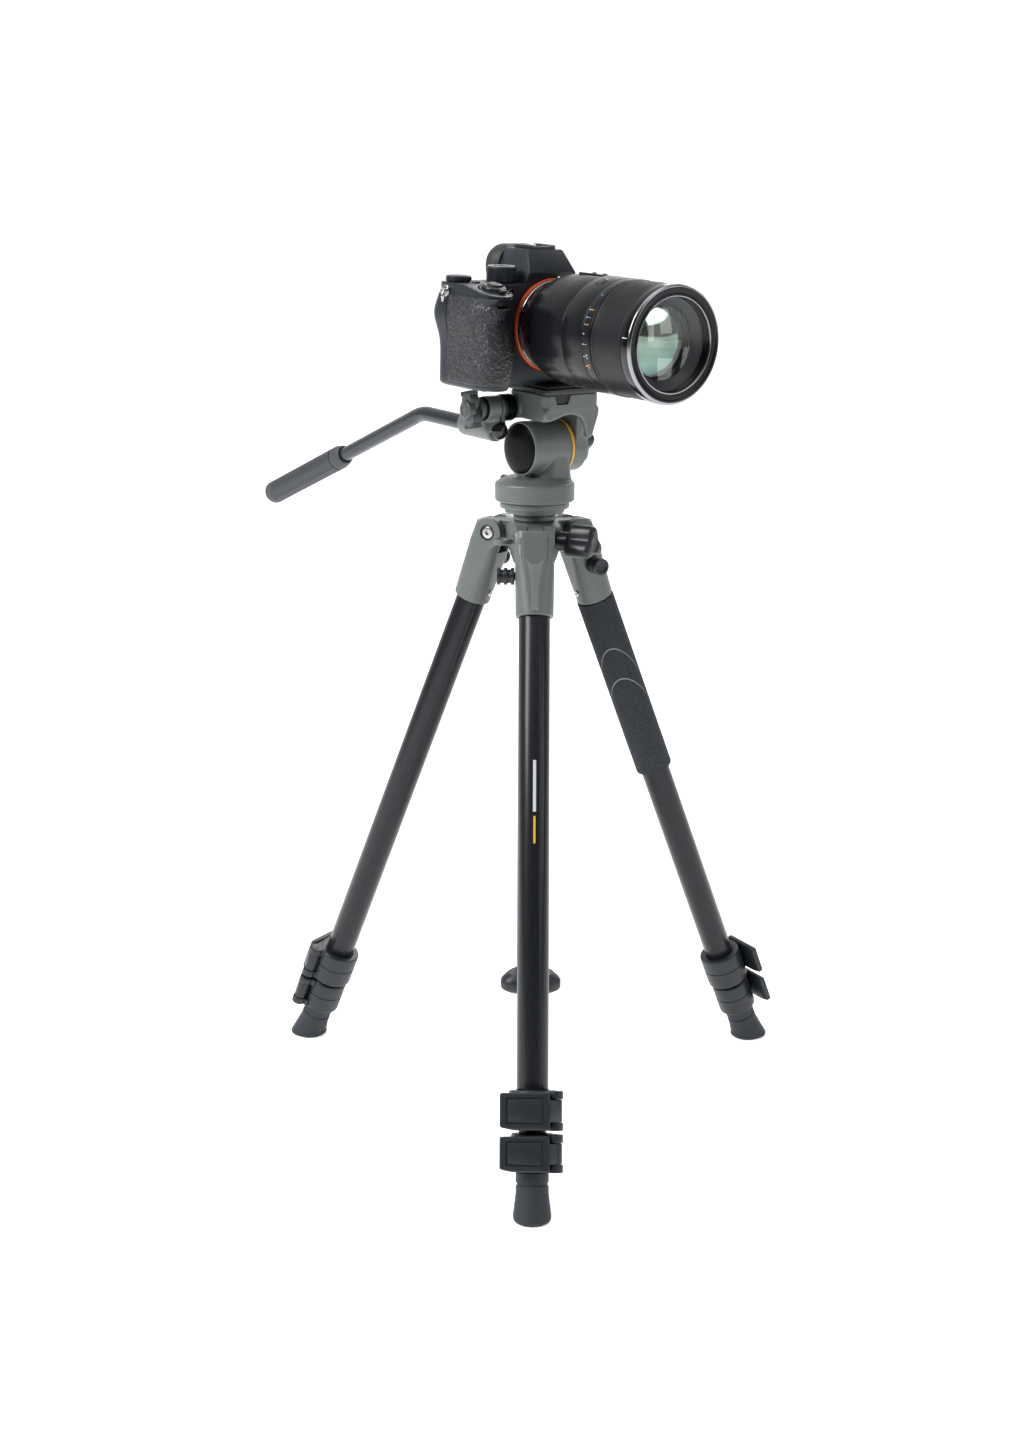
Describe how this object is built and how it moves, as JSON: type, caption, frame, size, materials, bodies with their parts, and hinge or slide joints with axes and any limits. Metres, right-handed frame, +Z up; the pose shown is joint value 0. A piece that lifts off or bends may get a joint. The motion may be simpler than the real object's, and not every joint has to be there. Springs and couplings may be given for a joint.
{
  "type": "digital camera on tripod",
  "caption": "Digital camera with a long lens on a folding tripod with a pan and tilt head and a handle.",
  "frame": {"origin": "on the floor, at the centre of the circle through the three feet, on the column's axis", "axes": "+Z up along the centre column; the front leg points along -Y; the camera looks toward -Y and +X, 36.65 degrees from -Y"},
  "size_m": [0.4219, 0.4782, 0.6398],
  "materials": {
    "cast_metal": "satin grey-green paint with a fine texture",
    "black_tube": "black anodised, glossy",
    "leg_section": "black anodised tube with a black plastic lock body or a grey rubber foot",
    "lock_plastic": "dark charcoal, moulded",
    "knob_plastic": "dark grey, satin",
    "cap_plastic": "black, glossy",
    "bolt_steel": "polished",
    "foam": "closed-cell foam, matt",
    "grip_rubber": "mid grey, ribbed",
    "bar_paint": "dark slate, satin",
    "plate_metal": "black anodised, satin",
    "camera_body": "black, fine crinkle",
    "leatherette": "black, leather grain",
    "mount_orange": "orange, satin",
    "lens_metal": "black, satin",
    "lens_rubber": "black, ribbed",
    "optical_glass": "coated, green and magenta reflections",
    "dial_metal": "black, knurled edge",
    "button_metal": "dark, satin",
    "screen_panel": "black, glossy front",
    "eyecup_rubber": "black, matt",
    "inner_electronics": "plain",
    "battery_case": "plain"
  },
  "bodies": {
    "shoulder": {"shoulder": "cast_metal", "pivot_bolts": "bolt_steel"},
    "front_leg": {"front_leg_casting": "cast_metal", "front_upper_tube": "black_tube", "front_upper_collar": "lock_plastic"},
    "front_middle": {"front_middle_section": "leg_section"},
    "front_lower": {"front_lower_section": "leg_section"},
    "front_upper_lever": {"front_upper_lever": "lock_plastic"},
    "front_lower_lever": {"front_lower_lever": "lock_plastic"},
    "front_angle_pin": {"front_angle_pin": "lock_plastic"},
    "right_leg": {"right_leg_casting": "cast_metal", "right_upper_tube": "black_tube", "right_upper_collar": "lock_plastic", "right_foam_grip": "foam"},
    "right_middle": {"right_middle_section": "leg_section"},
    "right_lower": {"right_lower_section": "leg_section"},
    "right_upper_lever": {"right_upper_lever": "lock_plastic"},
    "right_lower_lever": {"right_lower_lever": "lock_plastic"},
    "right_angle_pin": {"right_angle_pin": "lock_plastic"},
    "left_leg": {"left_leg_casting": "cast_metal", "left_upper_tube": "black_tube", "left_upper_collar": "lock_plastic"},
    "left_middle": {"left_middle_section": "leg_section"},
    "left_lower": {"left_lower_section": "leg_section"},
    "left_upper_lever": {"left_upper_lever": "lock_plastic"},
    "left_lower_lever": {"left_lower_lever": "lock_plastic"},
    "left_angle_pin": {"left_angle_pin": "lock_plastic"},
    "column": {"column_tube": "black_tube", "column_top_plate": "cast_metal", "column_hook": "lock_plastic", "pan_base": "cast_metal"},
    "column_knob": {"column_knob": "knob_plastic"},
    "pan": {"pan_housing": "cast_metal", "tilt_cap": "cap_plastic"},
    "pan_knob": {"pan_knob": "knob_plastic"},
    "tilt": {"tilt_bracket": "cast_metal"},
    "tilt_knob": {"tilt_knob": "knob_plastic"},
    "qr_lever": {"qr_lever": "knob_plastic"},
    "camera": {"qr_plate": "plate_metal", "camera_shell": "camera_body", "grip_cover": "leatherette", "top_cover": "camera_body", "mount_ring": "mount_orange", "lens_barrel": "lens_metal", "lens_glass": "optical_glass", "eyecup": "eyecup_rubber", "sensor_unit": "inner_electronics", "battery": "battery_case"},
    "handle": {"handle_clamp": "cast_metal", "handle_bar": "bar_paint", "handle_grip": "grip_rubber"},
    "handle_knob": {"handle_knob": "knob_plastic"},
    "shutter_button": {"shutter_button": "button_metal"},
    "power_lever": {"power_lever": "dial_metal"},
    "mode_dial": {"mode_dial": "dial_metal"},
    "exposure_dial": {"exposure_dial": "dial_metal"},
    "front_dial": {"front_dial": "dial_metal"},
    "rear_screen": {"rear_screen": "screen_panel"},
    "lens_release": {"lens_release": "dial_metal"},
    "focus_ring": {"focus_ring": "lens_rubber"}
  },
  "joints": [
    {"name": "front_leg_spread", "type": "hinge", "parent": "shoulder", "child": "front_leg", "pos_m": [0, -0.0318, 0.43513], "axis": [-1, 0, 0], "range_deg": [-22.3, 55]},
    {"name": "front_upper_lever_flip", "type": "hinge", "parent": "front_leg", "child": "front_upper_lever", "pos_m": [0.0155, -0.19391, 0.07149], "axis": [0, 0.3795, 0.9252], "range_deg": [0, 120]},
    {"name": "front_middle_slide", "type": "slide", "parent": "front_leg", "child": "front_middle", "axis": [0, -0.3795, -0.9252], "range_m": [0, 0.275]},
    {"name": "front_lower_lever_flip", "type": "hinge", "parent": "front_middle", "child": "front_lower_lever", "pos_m": [0.0155, -0.20474, 0.04508], "axis": [0, 0.3795, 0.9252], "range_deg": [0, 120]},
    {"name": "front_lower_slide", "type": "slide", "parent": "front_middle", "child": "front_lower", "axis": [0, -0.3795, -0.9252], "range_m": [0, 0.27]},
    {"name": "front_angle_pin_pull", "type": "slide", "parent": "front_leg", "child": "front_angle_pin", "axis": [-1, 0, 0], "range_m": [0, 0.005], "stiffness_N_per_m": 300, "springref_m": -0.006},
    {"name": "right_leg_spread", "type": "hinge", "parent": "shoulder", "child": "right_leg", "pos_m": [0.02754, 0.0159, 0.43513], "axis": [0.5, -0.866, 0], "range_deg": [-22.3, 55]},
    {"name": "right_upper_lever_flip", "type": "hinge", "parent": "right_leg", "child": "right_upper_lever", "pos_m": [0.16018, 0.11038, 0.07149], "axis": [-0.3286, -0.1897, 0.9252], "range_deg": [0, 120]},
    {"name": "right_middle_slide", "type": "slide", "parent": "right_leg", "child": "right_middle", "axis": [0.3286, 0.1897, -0.9252], "range_m": [0, 0.275]},
    {"name": "right_lower_lever_flip", "type": "hinge", "parent": "right_middle", "child": "right_lower_lever", "pos_m": [0.16956, 0.11579, 0.04508], "axis": [-0.3286, -0.1897, 0.9252], "range_deg": [0, 120]},
    {"name": "right_lower_slide", "type": "slide", "parent": "right_middle", "child": "right_lower", "axis": [0.3286, 0.1897, -0.9252], "range_m": [0, 0.27]},
    {"name": "right_angle_pin_pull", "type": "slide", "parent": "right_leg", "child": "right_angle_pin", "axis": [0.5, -0.866, 0], "range_m": [0, 0.005], "stiffness_N_per_m": 300, "springref_m": -0.006},
    {"name": "left_leg_spread", "type": "hinge", "parent": "shoulder", "child": "left_leg", "pos_m": [-0.02754, 0.0159, 0.43513], "axis": [0.5, 0.866, 0], "range_deg": [-22.3, 55]},
    {"name": "left_upper_lever_flip", "type": "hinge", "parent": "left_leg", "child": "left_upper_lever", "pos_m": [-0.17568, 0.08353, 0.07149], "axis": [0.3286, -0.1897, 0.9252], "range_deg": [0, 120]},
    {"name": "left_middle_slide", "type": "slide", "parent": "left_leg", "child": "left_middle", "axis": [-0.3286, 0.1897, -0.9252], "range_m": [0, 0.275]},
    {"name": "left_lower_lever_flip", "type": "hinge", "parent": "left_middle", "child": "left_lower_lever", "pos_m": [-0.18506, 0.08895, 0.04508], "axis": [0.3286, -0.1897, 0.9252], "range_deg": [0, 120]},
    {"name": "left_lower_slide", "type": "slide", "parent": "left_middle", "child": "left_lower", "axis": [-0.3286, 0.1897, -0.9252], "range_m": [0, 0.27]},
    {"name": "left_angle_pin_pull", "type": "slide", "parent": "left_leg", "child": "left_angle_pin", "axis": [0.5, 0.866, 0], "range_m": [0, 0.005], "stiffness_N_per_m": 300, "springref_m": -0.006},
    {"name": "column_lift", "type": "slide", "parent": "shoulder", "child": "column", "axis": [0, 0, 1], "range_m": [0, 0.25]},
    {"name": "column_knob_turn", "type": "hinge", "parent": "shoulder", "child": "column_knob", "pos_m": [0, 0, 0.43163], "axis": [0.866, -0.5, 0], "continuous": true},
    {"name": "pan_turn", "type": "hinge", "parent": "column", "child": "pan", "pos_m": [0, 0, 0.45983], "axis": [0, 0, 1], "continuous": true},
    {"name": "pan_knob_turn", "type": "hinge", "parent": "pan", "child": "pan_knob", "pos_m": [0, 0, 0.46683], "axis": [-0.5969, 0.8023, 0], "continuous": true},
    {"name": "tilt_turn", "type": "hinge", "parent": "pan", "child": "tilt", "pos_m": [0, 0, 0.49783], "axis": [0.8023, 0.5969, 0], "range_deg": [-40, 87]},
    {"name": "tilt_knob_turn", "type": "hinge", "parent": "tilt", "child": "tilt_knob", "pos_m": [0, 0, 0.49783], "axis": [0.8023, 0.5969, 0], "continuous": true},
    {"name": "qr_lever_turn", "type": "hinge", "parent": "tilt", "child": "qr_lever", "pos_m": [0.00823, 0.04087, 0.52685], "axis": [-0.0257, 0.0345, -0.9991], "range_deg": [0, 90]},
    {"name": "plate_slide", "type": "slide", "parent": "tilt", "child": "camera", "axis": [0.5964, -0.8016, -0.043], "range_m": [-0.008, 0.008]},
    {"name": "handle_swing", "type": "hinge", "parent": "tilt", "child": "handle", "pos_m": [-0.00763, 0.01026, 0.5264], "axis": [0.8023, 0.5969, 0], "range_deg": [-20, 45]},
    {"name": "handle_knob_turn", "type": "hinge", "parent": "handle", "child": "handle_knob", "pos_m": [-0.00763, 0.01026, 0.5264], "axis": [-0.8023, -0.5969, 0], "continuous": true},
    {"name": "shutter_press", "type": "slide", "parent": "camera", "child": "shutter_button", "axis": [-0.1471, 0.1977, -0.9692], "range_m": [0, 0.001], "stiffness_N_per_m": 600, "springref_m": -0.002},
    {"name": "power_lever_turn", "type": "hinge", "parent": "camera", "child": "power_lever", "pos_m": [-0.0294, -0.04816, 0.61106], "axis": [0.1471, -0.1977, 0.9692], "range_deg": [0, 35]},
    {"name": "mode_dial_turn", "type": "hinge", "parent": "camera", "child": "mode_dial", "pos_m": [-0.02481, -0.01999, 0.61463], "axis": [0.0257, -0.0345, 0.9991], "continuous": true},
    {"name": "exposure_dial_turn", "type": "hinge", "parent": "camera", "child": "exposure_dial", "pos_m": [-0.05426, -0.02447, 0.61523], "axis": [0.0257, -0.0345, 0.9991], "range_deg": [-120, 120]},
    {"name": "front_dial_turn", "type": "hinge", "parent": "camera", "child": "front_dial", "pos_m": [-0.02751, -0.04987, 0.59945], "axis": [0.0257, -0.0345, 0.9991], "continuous": true},
    {"name": "rear_screen_tilt", "type": "hinge", "parent": "camera", "child": "rear_screen", "pos_m": [-0.01172, 0.02273, 0.60576], "axis": [0.8023, 0.5969, 0], "range_deg": [0, 90]},
    {"name": "lens_release_press", "type": "slide", "parent": "camera", "child": "lens_release", "axis": [-0.5964, 0.8016, 0.043], "range_m": [0, 0.0018], "stiffness_N_per_m": 500, "springref_m": -0.002},
    {"name": "focus_ring_turn", "type": "hinge", "parent": "camera", "child": "focus_ring", "pos_m": [0.06553, -0.08446, 0.58106], "axis": [0.5964, -0.8016, -0.043], "continuous": true}
  ]
}
